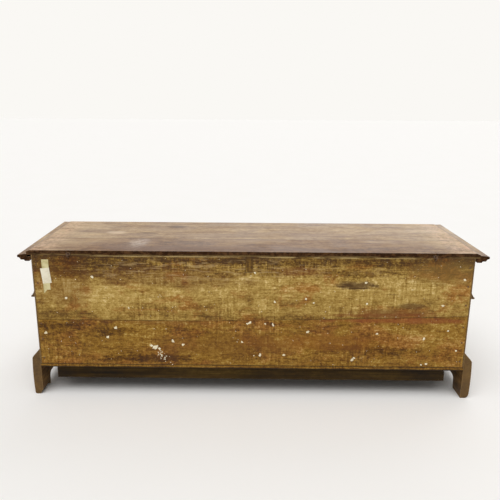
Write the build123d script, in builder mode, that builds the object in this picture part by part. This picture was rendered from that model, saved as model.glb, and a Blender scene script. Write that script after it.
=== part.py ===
"""Long low lidded chest of planks on a plinth with bracket feet.

Millimetres. The chest faces -Y, its nailed plank back is at +Y, up is +Z and the
floor is Z = 0. The origin is on the floor, under the middle of the whole chest.
"""

from build123d import *
import os
from math import atan2, cos, pi, sin, sqrt

os.makedirs("parts", exist_ok=True)

# ------------------------------------------------------------------ carcase
BODY_LENGTH = 1600.0        # over the two side panels
BODY_DEPTH = 492.0          # front face to back face
GROUND_GAP = 112.0          # floor to the underside of the bottom boards
BOTTOM_THICKNESS = 16.0
WALL_HEIGHT = 427.0         # planks above the bottom boards
SIDE_THICKNESS = 28.0
FRONT_THICKNESS = 26.0
BACK_THICKNESS = 20.0
BACK_LIP = 5.0              # side panel left standing outside the back planks
BOTTOM_REAR_WIDTH = 236.0   # rear one of the two bottom boards
ARRIS = 1.0                 # eased edge along a plank joint
BOTTOM_WEAR = 4.0           # worn lower edge of the rear bottom board

# dovetails that hold the front planks to the side panels
FRONT_LAP = 7.0             # front plank left in front of the tails
TAIL_WIDTH = 42.0           # at the tip of a tail
TAIL_FLARE = 4.0            # narrowing on each side towards its root
TAILS_LOWER = 4
TAILS_UPPER = 2

# the back planks meet on an uneven joint; its heights, from the right end to the left
BACK_JOINT_RIGHT = 306.5
BACK_JOINT_LOW = 305.2
BACK_JOINT_LOW_X = 200.0
BACK_JOINT_RISE = 320.8
BACK_JOINT_RISE_X = -436.0
BACK_JOINT_LEFT = 333.0

# piece let into the top of the upper back plank
PATCH_X = 11.0
PATCH_WIDTH = 26.5
PATCH_HEIGHT = 59.0
PATCH_DEPTH = 9.0

# ------------------------------------------------------------------ mouldings
MID_BASE = 394.5            # lower edge of the middle moulding
MID_HEIGHT = 23.0
MID_REACH = 12.5
MID_NOSE = 4.0
MID_HOLLOW = 40.0           # radius of the hollow slope above the nose
MID_LIFT = 6.5              # the left-hand run rises this much towards the back

PLINTH_HEIGHT = 185.0
PLINTH_SHOULDER = 149.5     # where the plinth's ogee starts
PLINTH_THICKNESS = 30.0     # at the shoulder
PLINTH_BOW = 2.5            # the face bows out past the shoulder
PLINTH_QUIRK = 1.5          # level fillet on top of the ogee
PLINTH_OGEE = 50.0          # radius of both curves of the ogee
FOOT_THICKNESS = 30.5       # at the foot of the board
FOOT_WEAR = 8.0             # radius of the worn lower corner
LEFT_FOOT_WEAR = 16.0       # the left rear foot is worn rounder
CHIP_WIDTH = 11.0           # inner corner split off under the right rear foot
CHIP_HEIGHT = 20.0
ARCH_HEIGHT = 50.0          # floor to the underside of the apron
ARCH_RADIUS = 19.0
ARCH_RAKE = 6.0             # how far a foot widens from the floor to the apron
REAR_FOOT = 82.0            # length of a rear foot on the floor
FRONT_FOOT = 112.0          # length of a front foot on the floor, either way
BLOCK_WIDTH = 42.0          # glue block behind each front corner
BLOCK_RISE = 8.0

RAIL_HEIGHT = 51.0          # rail nailed under the rear edge of the bottom
RAIL_THICKNESS = 24.0
RAIL_RECESS = 20.0
RAIL_INSET_RIGHT = 55.0     # its ends, short of the ends of the carcase
RAIL_INSET_LEFT = 62.5
RAIL_ROUND = 20.0           # rounded shoulder at the left end
RAIL_BEVEL = 5.0            # bevelled shoulder at the right end

# ------------------------------------------------------------------ lid
LID_THICKNESS = 17.5
LID_OVERHANG = 16.0         # board beyond the carcase, at the sides and front
LID_REACH = 50.0            # tip of the moulding beyond the carcase
LID_REAR_PLANK = 190.0      # rear plank, front to back
LID_BEVEL_WIDTH = 12.0
LID_BEVEL_DROP = 5.0
LID_PLAY = 1.5              # moulding clear of the carcase
MOULDING_RISE = 10.5        # top of the moulding, above the underside of the board
NOSE_RADIUS = 5.0
NOSE_RISE = 2.3             # middle of the nose above the underside of the board
OGEE_WIDTH = 10.0           # small ogee under the nose
OGEE_DROP = 8.5
OGEE_RADIUS = 6.0
OGEE_FILLET = 7.0           # level fillet between the ogee and the cove
COVE_RADIUS = 5.0
ROOT_BEVEL = 5.0
MOULDING_SAG = 7.0          # the right-hand moulding has dropped this much at the back
BATTEN_WIDTH = 46.0
BATTEN_THICKNESS = 20.0
BATTEN_INSET = 160.0        # middle of a batten from the end of the carcase
BATTEN_PLAY = 10.0          # batten clear of the front and back planks
BATTEN_BEVEL = 9.0

# ------------------------------------------------------------------ hinges
HINGE_INSET_LEFT = 144.0    # hinges from the ends of the carcase
HINGE_INSET_RIGHT = 136.0
WIRE_RADIUS = 2.2           # over the corners of the eight-sided wire
CHEST_EYE = 5.0             # middle of the wire round each eye
LID_EYE = 6.0
EYE_PLAY = 0.3              # eye clear of the back of the chest
PIN_PLAY = 0.1              # shank clear of its hole, all round
CLENCH_LENGTH = 30.0
CLENCH_WIDTH = 4.4
CLENCH_THICKNESS = 1.4
POCKET_PLAY = 0.6
CLENCH_PLAY = 0.2           # clench clear of the groove that it lies in

# ------------------------------------------------------------------ nails
NAIL_SHANK = 3.4
NAIL_HEAD = 6.5
NAIL_HEAD_THICKNESS = 1.4
NAIL_TAPER = 1.5            # degrees
NAIL_PLAY = 0.1
BACK_NAIL_LENGTH = 46.0
BACK_NAIL_Z = (152.0, 228.0, 290.0, 376.0, 448.0, 520.0)
BATTEN_NAIL_LENGTH = 30.0
LOCK_NAIL_LENGTH = 14.0
STAPLE_NAIL_LENGTH = 13.0

# ------------------------------------------------------------------ lock
LOCK_LENGTH = 104.0
LOCK_HEIGHT = 84.0
LOCK_DEPTH = 22.0
LOCK_WALL = 2.0
LOCK_TOP_GAP = 4.0          # top of the lock below the rim, clear of the staple plate
FLANGE = 18.0               # nailing flange at each end of the lock
BOLT_LENGTH = 50.0
BOLT_HEIGHT = 9.0
BOLT_THICKNESS = 7.0
BOLT_TIP = 8.0              # tip of the drawn bolt from the middle of the chest
BOLT_DROP = 19.0            # middle of the bolt below the rim
BOLT_PLAY = 0.15
BOLT_NOTCH = 7.0
GUIDE_WIDTH = 5.0
GUIDE_RIM = 4.0
STAPLE_X = 14.0
STAPLE_THICKNESS = 5.0      # along the bolt
STAPLE_WIDTH = 14.0
STAPLE_DROP = 30.0
STAPLE_WIRE = 2.2           # wall round the eye of the staple
STAPLE_PLAY = 1.6
STAPLE_PLATE = 52.0
PLATE_THICKNESS = 2.0
KEYHOLE_RADIUS = 5.0
KEYHOLE_SLOT = 5.0
KEYHOLE_DROP = 17.0
KEY_PIN_RADIUS = 2.0
KEY_PIN_GAP = 5.0           # end of the pin behind the lock's plate
KEY_DROP = 41.0            # key axis below the rim

# ------------------------------------------------------------------ paper tag
TAG_INSET = 49.0            # middle of the tape from the end of the carcase
TAG_TAPE_WIDTH = 25.0
TAG_TAPE_TOP = 538.0
TAG_TAPE_BOTTOM = 411.0
TAG_TAPE_TEAR = 12.0
TAG_CARD_WIDTH = 32.0
TAG_CARD_HEIGHT = 58.0
TAG_CARD_Z = 477.0
TAG_CARD_TILT = 6.0
TAPE_THICKNESS = 0.3
CARD_THICKNESS = 0.5

# ------------------------------------------------------------------ worked out
BODY_HALF = BODY_LENGTH / 2
WIRE_FLAT = WIRE_RADIUS * cos(pi / 8)
HINGE_OFFSET = CHEST_EYE + WIRE_FLAT + EYE_PLAY
HINGE_REACH = HINGE_OFFSET + CHEST_EYE + WIRE_FLAT
FRONT_Y = LID_REACH - (LID_REACH + BODY_DEPTH + HINGE_REACH) / 2
BACK_Y = FRONT_Y + BODY_DEPTH
FRONT_INNER = FRONT_Y + FRONT_THICKNESS
BACK_INNER = BACK_Y - BACK_THICKNESS
FLOOR_Z = GROUND_GAP + BOTTOM_THICKNESS
RIM_Z = FLOOR_Z + WALL_HEIGHT
LID_TOP = RIM_Z + LID_THICKNESS
LID_JOINT_Y = BACK_Y - LID_REAR_PLANK
LID_HALF = BODY_HALF + LID_OVERHANG
LID_FRONT_Y = FRONT_Y - LID_OVERHANG
FRONT_JOINT_Z = MID_BASE + MID_HEIGHT / 2
PLINTH_REACH = PLINTH_THICKNESS + PLINTH_BOW
HINGE_Y = BACK_Y + HINGE_OFFSET
HINGE_X = (HINGE_INSET_LEFT - BODY_HALF, BODY_HALF - HINGE_INSET_RIGHT)
BATTEN_X = BODY_HALF - BATTEN_INSET
RAIL_RIGHT = BODY_HALF - RAIL_INSET_RIGHT
RAIL_LEFT = BODY_HALF - RAIL_INSET_LEFT
TAG_X = BODY_HALF - TAG_INSET
DIAGONAL = 1 / sqrt(2)
CORNER = (Align.MIN, Align.MIN, Align.MIN)

RIGHT_MITRE = Plane(origin=(BODY_HALF, FRONT_Y, 0), z_dir=(1, 1, 0))
LEFT_MITRE = Plane(origin=(-BODY_HALF, FRONT_Y, 0), z_dir=(-1, 1, 0))


# ================================================================== outlines
def lid_moulding_outline():
    """Nose, ogee and cove; X runs outwards, Y up from the underside of the board."""
    nose_x = LID_REACH - NOSE_RADIUS
    under_nose = NOSE_RISE - NOSE_RADIUS
    fillet_x = nose_x - OGEE_WIDTH
    fillet_y = under_nose - OGEE_DROP
    middle = ((nose_x + fillet_x) / 2, (under_nose + fillet_y) / 2)
    cove_x = fillet_x - OGEE_FILLET
    bottom = fillet_y - COVE_RADIUS
    with BuildSketch() as outline:
        with BuildLine():
            Polyline(
                (LID_PLAY, bottom + ROOT_BEVEL),
                (LID_PLAY, 0),
                (LID_OVERHANG, 0),
                (LID_OVERHANG, MOULDING_RISE),
                (nose_x, NOSE_RISE + NOSE_RADIUS),
            )
            ThreePointArc(
                (nose_x, NOSE_RISE + NOSE_RADIUS),
                (LID_REACH, NOSE_RISE),
                (nose_x, under_nose),
            )
            RadiusArc((nose_x, under_nose), middle, -OGEE_RADIUS)
            RadiusArc(middle, (fillet_x, fillet_y), OGEE_RADIUS)
            Line((fillet_x, fillet_y), (cove_x, fillet_y))
            RadiusArc((cove_x, fillet_y), (cove_x - COVE_RADIUS, bottom), -COVE_RADIUS)
            Polyline(
                (cove_x - COVE_RADIUS, bottom),
                (LID_PLAY + ROOT_BEVEL, bottom),
                (LID_PLAY, bottom + ROOT_BEVEL),
            )
        make_face()
    return outline.sketch


def mid_moulding_outline():
    """Round nose at the bottom and a hollow slope above it."""
    with BuildSketch() as outline:
        with BuildLine():
            Polyline((0, MID_HEIGHT), (0, 0), (MID_REACH - MID_NOSE, 0))
            RadiusArc((MID_REACH - MID_NOSE, 0), (MID_REACH, MID_NOSE), -MID_NOSE)
            RadiusArc((MID_REACH, MID_NOSE), (0, MID_HEIGHT), MID_HOLLOW)
        make_face()
    return outline.sketch


def plinth_outline():
    """Board with a slightly bowed face and an ogee run along its top."""
    middle = ((PLINTH_QUIRK + PLINTH_THICKNESS) / 2, (PLINTH_HEIGHT + PLINTH_SHOULDER) / 2)
    with BuildSketch() as outline:
        with BuildLine():
            Polyline(
                (PLINTH_QUIRK, PLINTH_HEIGHT),
                (0, PLINTH_HEIGHT),
                (0, 0),
                (FOOT_THICKNESS - FOOT_WEAR, 0),
            )
            RadiusArc((FOOT_THICKNESS - FOOT_WEAR, 0), (FOOT_THICKNESS, FOOT_WEAR), -FOOT_WEAR)
            ThreePointArc(
                (FOOT_THICKNESS, FOOT_WEAR),
                (PLINTH_REACH, (FOOT_WEAR + PLINTH_SHOULDER) / 2),
                (PLINTH_THICKNESS, PLINTH_SHOULDER),
            )
            RadiusArc((PLINTH_THICKNESS, PLINTH_SHOULDER), middle, -PLINTH_OGEE)
            RadiusArc(middle, (PLINTH_QUIRK, PLINTH_HEIGHT), PLINTH_OGEE)
        make_face()
    return outline.sketch


def worn_corner_outline():
    """What the rounder wear takes off the outer corner of the left rear foot."""
    with BuildSketch() as outline:
        with Locations((FOOT_THICKNESS - LEFT_FOOT_WEAR, 0)):
            Rectangle(LEFT_FOOT_WEAR + PLINTH_BOW, LEFT_FOOT_WEAR, align=(Align.MIN, Align.MIN))
        with Locations((FOOT_THICKNESS - LEFT_FOOT_WEAR, LEFT_FOOT_WEAR)):
            Circle(LEFT_FOOT_WEAR, mode=Mode.SUBTRACT)
    return outline.sketch


def arch_outline(start, end):
    """Opening between two bracket feet; X along the board, Y up from the floor."""
    with BuildSketch() as outline:
        Polygon(
            (start, -1),
            (end, -1),
            (end - ARCH_RAKE, ARCH_HEIGHT),
            (start + ARCH_RAKE, ARCH_HEIGHT),
            align=None,
        )
        fillet(outline.vertices().group_by(Axis.Y)[-1], radius=ARCH_RADIUS)
    return outline.sketch


def tails_outline():
    """All the dovetails of one corner; X is the chest's Y, Y is its Z."""
    root = TAIL_WIDTH / 2 - TAIL_FLARE
    tip = TAIL_WIDTH / 2
    tip_y = FRONT_Y + FRONT_LAP
    stretches = ((FLOOR_Z, FRONT_JOINT_Z, TAILS_LOWER), (FRONT_JOINT_Z, RIM_Z, TAILS_UPPER))
    with BuildSketch() as outline:
        for low, high, count in stretches:
            pitch = (high - low) / count
            for n in range(count):
                middle = low + (n + 0.5) * pitch
                Polygon(
                    (FRONT_INNER, middle - root),
                    (FRONT_INNER, middle + root),
                    (tip_y, middle + tip),
                    (tip_y, middle - tip),
                    align=None,
                )
    return outline.sketch


def keyhole_outline():
    """Round head with a slot below it; the origin is the middle of the head."""
    with BuildSketch() as outline:
        Circle(KEYHOLE_RADIUS)
        with Locations((0, 0)):
            Rectangle(KEYHOLE_SLOT, KEYHOLE_DROP, align=(Align.CENTER, Align.MAX))
    return outline.sketch


# ================================================================== repeats
def side_run(outline, lift, reach, sag=0.0):
    """Right-hand run of a moulding, from the back, where it may sag, to the front mitre."""
    length = BACK_Y - LID_FRONT_Y
    tilt = atan2(sag, length)
    way = Vector(0, -cos(tilt), sin(tilt))
    start = Vector(BODY_HALF, LID_FRONT_Y, lift) - way * (length + reach)
    with BuildPart() as run:
        with BuildSketch(Plane(origin=start, x_dir=(1, 0, 0), z_dir=way)):
            add(outline)
        extrude(amount=length + 2 * reach)
        split(bisect_by=Plane(origin=(0, BACK_Y, 0), z_dir=(0, 1, 0)), keep=Keep.BOTTOM)
        split(bisect_by=RIGHT_MITRE, keep=Keep.TOP)
    return run.part


def front_run(outline, lift, reach):
    """Front run of a moulding, mitred at both corners."""
    start = Plane(origin=(BODY_HALF + reach, FRONT_Y, lift), x_dir=(0, -1, 0), z_dir=(-1, 0, 0))
    with BuildPart() as run:
        with BuildSketch(start):
            add(outline)
        extrude(amount=BODY_LENGTH + 2 * reach)
        split(bisect_by=RIGHT_MITRE, keep=Keep.BOTTOM)
        split(bisect_by=LEFT_MITRE, keep=Keep.BOTTOM)
    return run.part


def eye(middle, normal, radius):
    """Eye of a split pin: a ring bent from eight-sided wire, across the given normal."""
    across = Plane(origin=middle, z_dir=normal)
    with BuildPart() as ring:
        with BuildSketch(Plane(origin=middle, x_dir=across.x_dir, z_dir=across.y_dir)):
            with Locations((radius, 0)):
                RegularPolygon(WIRE_RADIUS, 8, rotation=22.5)
        revolve(axis=Axis(middle, normal))
    return ring.part


def nail(length):
    """Forged nail: square head standing on Z = 0, tapered shank going down."""
    with BuildPart() as forged:
        with BuildSketch():
            Rectangle(NAIL_HEAD, NAIL_HEAD)
        extrude(amount=NAIL_HEAD_THICKNESS, taper=35)
        with BuildSketch():
            Rectangle(NAIL_SHANK, NAIL_SHANK)
        extrude(amount=-length, taper=NAIL_TAPER)
    return forged.part


def nail_holes(places, length):
    """Square pilot holes for nails at the given places, cut from the part in hand."""
    width = NAIL_SHANK + 2 * NAIL_PLAY
    with Locations(*places):
        Box(
            width,
            width,
            length + NAIL_PLAY,
            align=(Align.CENTER, Align.CENTER, Align.MAX),
            mode=Mode.SUBTRACT,
        )


def facing(x, y, z, outward):
    """Place whose Z axis points the given way, with its X axis along the chest."""
    return Plane(origin=(x, y, z), x_dir=(1, 0, 0), z_dir=outward).location


BACK_NAIL_X = BODY_HALF - (SIDE_THICKNESS + BACK_LIP) / 2
BACK_NAILS = [
    facing(side * BACK_NAIL_X, BACK_Y, z, (0, 1, 0)) for side in (-1, 1) for z in BACK_NAIL_Z
]
BATTEN_FRONT = FRONT_INNER + BATTEN_PLAY
BATTEN_LENGTH = BACK_INNER - BATTEN_PLAY - BATTEN_FRONT
BATTEN_NAILS = [
    facing(side * BATTEN_X, BATTEN_FRONT + share * BATTEN_LENGTH, RIM_Z - BATTEN_THICKNESS, (0, 0, -1))
    for side in (-1, 1)
    for share in (0.12, 0.45, 0.72, 0.90)
]
LOCK_NAIL_X = (LOCK_LENGTH + FLANGE) / 2
LOCK_TOP = RIM_Z - LOCK_TOP_GAP
LOCK_NAILS = [
    facing(side * LOCK_NAIL_X, FRONT_INNER + LOCK_WALL, LOCK_TOP - share * LOCK_HEIGHT, (0, 1, 0))
    for side in (-1, 1)
    for share in (0.2, 0.8)
]
STAPLE_Y = FRONT_INNER + LOCK_DEPTH / 2
STAPLE_NAILS = [
    facing(STAPLE_X + side * STAPLE_PLATE * 0.34, STAPLE_Y, RIM_Z - PLATE_THICKNESS, (0, 0, -1))
    for side in (-1, 1)
]

# directions of the two pins of a hinge, both at 45 degrees in the YZ plane
LID_PIN_WAY = Vector(0, -DIAGONAL, DIAGONAL)
CHEST_PIN_WAY = Vector(0, -DIAGONAL, -DIAGONAL)


def pin_plane(x, way, distance):
    """Plane across a hinge pin, at a distance from the hinge axis."""
    start = Vector(x, HINGE_Y, RIM_Z) + way * distance
    return Plane(origin=start, x_dir=(1, 0, 0), z_dir=way)


# ================================================================== carcase
with BuildPart() as side_panel_right:
    with BuildSketch(Plane.YZ.offset(BODY_HALF - SIDE_THICKNESS)):
        with Locations((FRONT_INNER, FLOOR_Z)):
            Rectangle(BACK_Y - FRONT_INNER, WALL_HEIGHT, align=(Align.MIN, Align.MIN))
        add(tails_outline())
    extrude(amount=SIDE_THICKNESS)
    with BuildSketch(Plane.XY.offset(FLOOR_Z)):
        with Locations((BODY_HALF - SIDE_THICKNESS, BACK_INNER)):
            Rectangle(
                SIDE_THICKNESS - BACK_LIP, BACK_THICKNESS, align=(Align.MIN, Align.MIN)
            )
    extrude(amount=WALL_HEIGHT, mode=Mode.SUBTRACT)
    nail_holes(BACK_NAILS, BACK_NAIL_LENGTH)

with BuildPart() as side_panel_left:
    mirror(side_panel_right.part, about=Plane.YZ)


def front_plank(low, high):
    """Front plank between two heights, with the sockets for the dovetails."""
    with BuildPart() as plank:
        with Locations((-BODY_HALF, FRONT_Y, low)):
            Box(BODY_LENGTH, FRONT_THICKNESS, high - low, align=CORNER)
        for near in (-BODY_HALF, BODY_HALF - SIDE_THICKNESS):
            with BuildSketch(Plane.YZ.offset(near)):
                add(tails_outline())
            extrude(amount=SIDE_THICKNESS, mode=Mode.SUBTRACT)
    return plank.part


with BuildPart() as front_lower_plank:
    add(front_plank(FLOOR_Z, FRONT_JOINT_Z))

with BuildPart() as front_upper_plank:
    add(front_plank(FRONT_JOINT_Z, RIM_Z))
    with BuildSketch(Plane.XZ.offset(-FRONT_INNER)):
        with Locations((0, RIM_Z - KEY_DROP)):
            add(keyhole_outline())
    extrude(amount=FRONT_THICKNESS, mode=Mode.SUBTRACT)
    nail_holes(LOCK_NAILS, LOCK_NAIL_LENGTH)

BACK_EDGE = BODY_HALF - BACK_LIP
BACK_JOINT = (
    (BACK_EDGE, BACK_JOINT_RIGHT),
    (BACK_JOINT_LOW_X, BACK_JOINT_LOW),
    (BACK_JOINT_RISE_X, BACK_JOINT_RISE),
    (-BACK_EDGE, BACK_JOINT_LEFT),
)
JOINT_EDGES = len(BACK_JOINT) - 1

with BuildPart() as back_lower_plank:
    with BuildSketch(Plane.XZ.offset(-BACK_Y)):
        Polygon((-BACK_EDGE, FLOOR_Z), (BACK_EDGE, FLOOR_Z), *BACK_JOINT, align=None)
    extrude(amount=BACK_THICKNESS)
    outside = back_lower_plank.faces().sort_by(Axis.Y)[-1]
    chamfer(outside.edges().sort_by(Axis.Z)[-JOINT_EDGES:], length=ARRIS)
    nail_holes(BACK_NAILS, BACK_NAIL_LENGTH)

with BuildPart() as back_patch:
    with Locations((PATCH_X - PATCH_WIDTH / 2, BACK_Y - PATCH_DEPTH, RIM_Z - PATCH_HEIGHT)):
        Box(PATCH_WIDTH, PATCH_DEPTH, PATCH_HEIGHT, align=CORNER)

with BuildPart() as back_upper_plank:
    with BuildSketch(Plane.XZ.offset(-BACK_Y)):
        Polygon(*BACK_JOINT, (-BACK_EDGE, RIM_Z), (BACK_EDGE, RIM_Z), align=None)
    extrude(amount=BACK_THICKNESS)
    outside = back_upper_plank.faces().sort_by(Axis.Y)[-1]
    chamfer(outside.edges().sort_by(Axis.Z)[:JOINT_EDGES], length=ARRIS)
    add(back_patch.part, mode=Mode.SUBTRACT)
    nail_holes(BACK_NAILS, BACK_NAIL_LENGTH)
    for x in HINGE_X:
        with BuildSketch(pin_plane(x, CHEST_PIN_WAY, 0)):
            Circle(WIRE_RADIUS + PIN_PLAY)
        extrude(amount=HINGE_OFFSET + 2 * BACK_THICKNESS, mode=Mode.SUBTRACT)

with BuildPart() as bottom_front_board:
    with Locations((-BODY_HALF, FRONT_Y, GROUND_GAP)):
        Box(BODY_LENGTH, BODY_DEPTH - BOTTOM_REAR_WIDTH, BOTTOM_THICKNESS, align=CORNER)

with BuildPart() as bottom_rear_board:
    with Locations((-BODY_HALF, BACK_Y - BOTTOM_REAR_WIDTH, GROUND_GAP)):
        Box(BODY_LENGTH, BOTTOM_REAR_WIDTH, BOTTOM_THICKNESS, align=CORNER)
    rear_edges = bottom_rear_board.faces().sort_by(Axis.Y)[-1].edges().filter_by(Axis.X)
    chamfer(rear_edges.sort_by(Axis.Z)[0], length=BOTTOM_WEAR)

with BuildPart() as rear_rail:
    with BuildSketch(Plane.XZ.offset(-(BACK_Y - RAIL_RECESS))) as rail_face:
        with Locations((-RAIL_LEFT, GROUND_GAP)):
            Rectangle(RAIL_LEFT + RAIL_RIGHT, RAIL_HEIGHT, align=(Align.MIN, Align.MAX))
        shoulders = rail_face.vertices().group_by(Axis.Y)[-1].sort_by(Axis.X)
        fillet(shoulders[0], radius=RAIL_ROUND)
        chamfer(shoulders[-1], length=RAIL_BEVEL)
    extrude(amount=RAIL_THICKNESS)

# ================================================================== plinth
FOOT_FRONT_Y = FRONT_Y - FOOT_THICKNESS + FRONT_FOOT
FOOT_REAR_Y = BACK_Y - REAR_FOOT
FOOT_INNER_X = BODY_HALF + FOOT_THICKNESS - FRONT_FOOT
REAR_END = Plane(origin=(BODY_HALF, BACK_Y, 0), x_dir=(1, 0, 0), z_dir=(0, -1, 0))


def plinth_side():
    """Right-hand side of the plinth, with the arch between its feet."""
    with BuildPart() as board:
        add(side_run(plinth_outline(), 0, PLINTH_REACH))
        with BuildSketch(Plane.YZ.offset(BODY_HALF)):
            add(arch_outline(FOOT_FRONT_Y, FOOT_REAR_Y))
        extrude(amount=PLINTH_REACH, mode=Mode.SUBTRACT)
    return board.part


with BuildPart() as plinth_right:
    add(plinth_side())
    with BuildSketch(REAR_END):
        Polygon((0, 0), (CHIP_WIDTH, 0), (0, CHIP_HEIGHT), align=None)
    extrude(amount=REAR_FOOT, mode=Mode.SUBTRACT)

with BuildPart() as worn_side:
    add(plinth_side())
    with BuildSketch(REAR_END):
        add(worn_corner_outline())
    extrude(amount=REAR_FOOT, mode=Mode.SUBTRACT)

with BuildPart() as plinth_left:
    mirror(worn_side.part, about=Plane.YZ)

with BuildPart() as plinth_front:
    add(front_run(plinth_outline(), 0, PLINTH_REACH))
    with BuildSketch(Plane.XZ.offset(-FRONT_Y)):
        add(arch_outline(-FOOT_INNER_X, FOOT_INNER_X))
    extrude(amount=PLINTH_REACH, mode=Mode.SUBTRACT)

with BuildPart() as corner_block_right:
    with Locations((BODY_HALF - BLOCK_WIDTH, FRONT_Y, BLOCK_RISE)):
        Box(BLOCK_WIDTH, BLOCK_WIDTH, GROUND_GAP - BLOCK_RISE, align=CORNER)
    inner_edge = corner_block_right.edges().filter_by(Axis.Z).sort_by(Axis.Y)[-2:].sort_by(Axis.X)[0]
    chamfer(inner_edge, length=BLOCK_WIDTH / 3)

with BuildPart() as corner_block_left:
    mirror(corner_block_right.part, about=Plane.YZ)

# ================================================================== middle moulding
with BuildPart() as mid_moulding_right:
    add(side_run(mid_moulding_outline(), MID_BASE, MID_REACH))

with BuildPart() as mid_moulding_left:
    mirror(side_run(mid_moulding_outline(), MID_BASE, MID_REACH, -MID_LIFT), about=Plane.YZ)

with BuildPart() as mid_moulding_front:
    add(front_run(mid_moulding_outline(), MID_BASE, MID_REACH))

# ================================================================== lid
with BuildPart() as lid_front_plank:
    with Locations((-LID_HALF, LID_FRONT_Y, RIM_Z)):
        Box(2 * LID_HALF, LID_JOINT_Y - LID_FRONT_Y, LID_THICKNESS, align=CORNER)
    top = lid_front_plank.faces().sort_by(Axis.Z)[-1]
    chamfer(
        top.edges().sort_by(Axis.Y)[:-1],
        length=LID_BEVEL_WIDTH,
        length2=LID_BEVEL_DROP,
        reference=top,
    )
    nail_holes(BATTEN_NAILS, BATTEN_NAIL_LENGTH)
    nail_holes(STAPLE_NAILS, STAPLE_NAIL_LENGTH)

CLENCH_Y = HINGE_Y - LID_THICKNESS

with BuildPart() as lid_rear_plank:
    with Locations((-LID_HALF, LID_JOINT_Y, RIM_Z)):
        Box(2 * LID_HALF, LID_REAR_PLANK, LID_THICKNESS, align=CORNER)
    top = lid_rear_plank.faces().sort_by(Axis.Z)[-1]
    chamfer(
        top.edges().filter_by(Axis.Y),
        length=LID_BEVEL_WIDTH,
        length2=LID_BEVEL_DROP,
        reference=top,
    )
    nail_holes(BATTEN_NAILS, BATTEN_NAIL_LENGTH)
    eye_reach = LID_EYE + WIRE_RADIUS
    pocket_depth = 2 * LID_EYE * DIAGONAL - HINGE_OFFSET + WIRE_RADIUS + POCKET_PLAY
    pocket_top = 2 * LID_EYE * DIAGONAL + WIRE_RADIUS + POCKET_PLAY
    for x in HINGE_X:
        with Locations((x, BACK_Y, RIM_Z)):
            Box(
                2 * (eye_reach + POCKET_PLAY),
                pocket_depth,
                pocket_top,
                align=(Align.CENTER, Align.MAX, Align.MIN),
                mode=Mode.SUBTRACT,
            )
        with BuildSketch(pin_plane(x, LID_PIN_WAY, 2 * LID_EYE)):
            Circle(WIRE_RADIUS + PIN_PLAY)
        extrude(amount=2 * LID_THICKNESS, mode=Mode.SUBTRACT)
        with Locations((x, CLENCH_Y, LID_TOP)):
            Box(
                CLENCH_LENGTH + 2 * CLENCH_PLAY,
                CLENCH_WIDTH + 2 * CLENCH_PLAY,
                CLENCH_THICKNESS,
                align=(Align.CENTER, Align.CENTER, Align.MAX),
                mode=Mode.SUBTRACT,
            )

with BuildPart() as lid_moulding_right:
    add(side_run(lid_moulding_outline(), RIM_Z, LID_REACH, MOULDING_SAG))

with BuildPart() as lid_moulding_left:
    mirror(side_run(lid_moulding_outline(), RIM_Z, LID_REACH), about=Plane.YZ)

with BuildPart() as lid_moulding_front:
    add(front_run(lid_moulding_outline(), RIM_Z, LID_REACH))

with BuildPart() as lid_batten_right:
    with Locations((BATTEN_X - BATTEN_WIDTH / 2, BATTEN_FRONT, RIM_Z - BATTEN_THICKNESS)):
        Box(BATTEN_WIDTH, BATTEN_LENGTH, BATTEN_THICKNESS, align=CORNER)
    underside = lid_batten_right.faces().sort_by(Axis.Z)[0]
    chamfer(underside.edges().filter_by(Axis.X), length=BATTEN_BEVEL)
    nail_holes(BATTEN_NAILS, BATTEN_NAIL_LENGTH)

with BuildPart() as lid_batten_left:
    mirror(lid_batten_right.part, about=Plane.YZ)

# ================================================================== hinges
# A pair of split pins with interlocking eyes makes each hinge. The eye of the chest's
# pin stands in the YZ plane, round the hinge axis; the wire of the lid's eye passes
# through it along that axis.
with BuildPart() as chest_hinge_pins:
    for x in HINGE_X:
        with BuildSketch(pin_plane(x, CHEST_PIN_WAY, CHEST_EYE)):
            RegularPolygon(WIRE_RADIUS, 8, rotation=22.5)
        extrude(amount=HINGE_OFFSET + 2 * BACK_THICKNESS - CHEST_EYE)
        add(eye(Vector(x, HINGE_Y, RIM_Z), Vector(1, 0, 0), CHEST_EYE))
    clench_y = BACK_INNER - CLENCH_THICKNESS
    split(bisect_by=Plane(origin=(0, clench_y, 0), z_dir=(0, 1, 0)), keep=Keep.TOP)
    clench_z = RIM_Z - HINGE_OFFSET - BACK_THICKNESS - CLENCH_THICKNESS / 2
    with Locations(*[(x, clench_y, clench_z) for x in HINGE_X]):
        Box(
            CLENCH_LENGTH,
            CLENCH_THICKNESS,
            CLENCH_WIDTH,
            align=(Align.CENTER, Align.MIN, Align.CENTER),
        )

with BuildPart() as lid_hinge_pins:
    for x in HINGE_X:
        with BuildSketch(pin_plane(x, LID_PIN_WAY, 2 * LID_EYE)):
            RegularPolygon(WIRE_RADIUS, 8, rotation=22.5)
        extrude(amount=2 * LID_THICKNESS)
        add(eye(Vector(x, HINGE_Y, RIM_Z) + LID_PIN_WAY * LID_EYE, CHEST_PIN_WAY, LID_EYE))
    split(bisect_by=Plane(origin=(0, 0, LID_TOP), z_dir=(0, 0, 1)), keep=Keep.BOTTOM)
    with Locations(*[(x, CLENCH_Y, LID_TOP) for x in HINGE_X]):
        Box(
            CLENCH_LENGTH,
            CLENCH_WIDTH,
            CLENCH_THICKNESS,
            align=(Align.CENTER, Align.CENTER, Align.MAX),
        )

# ================================================================== lock
BOLT_Z = RIM_Z - BOLT_DROP
INNER_DEPTH = LOCK_DEPTH - 2 * LOCK_WALL

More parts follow.
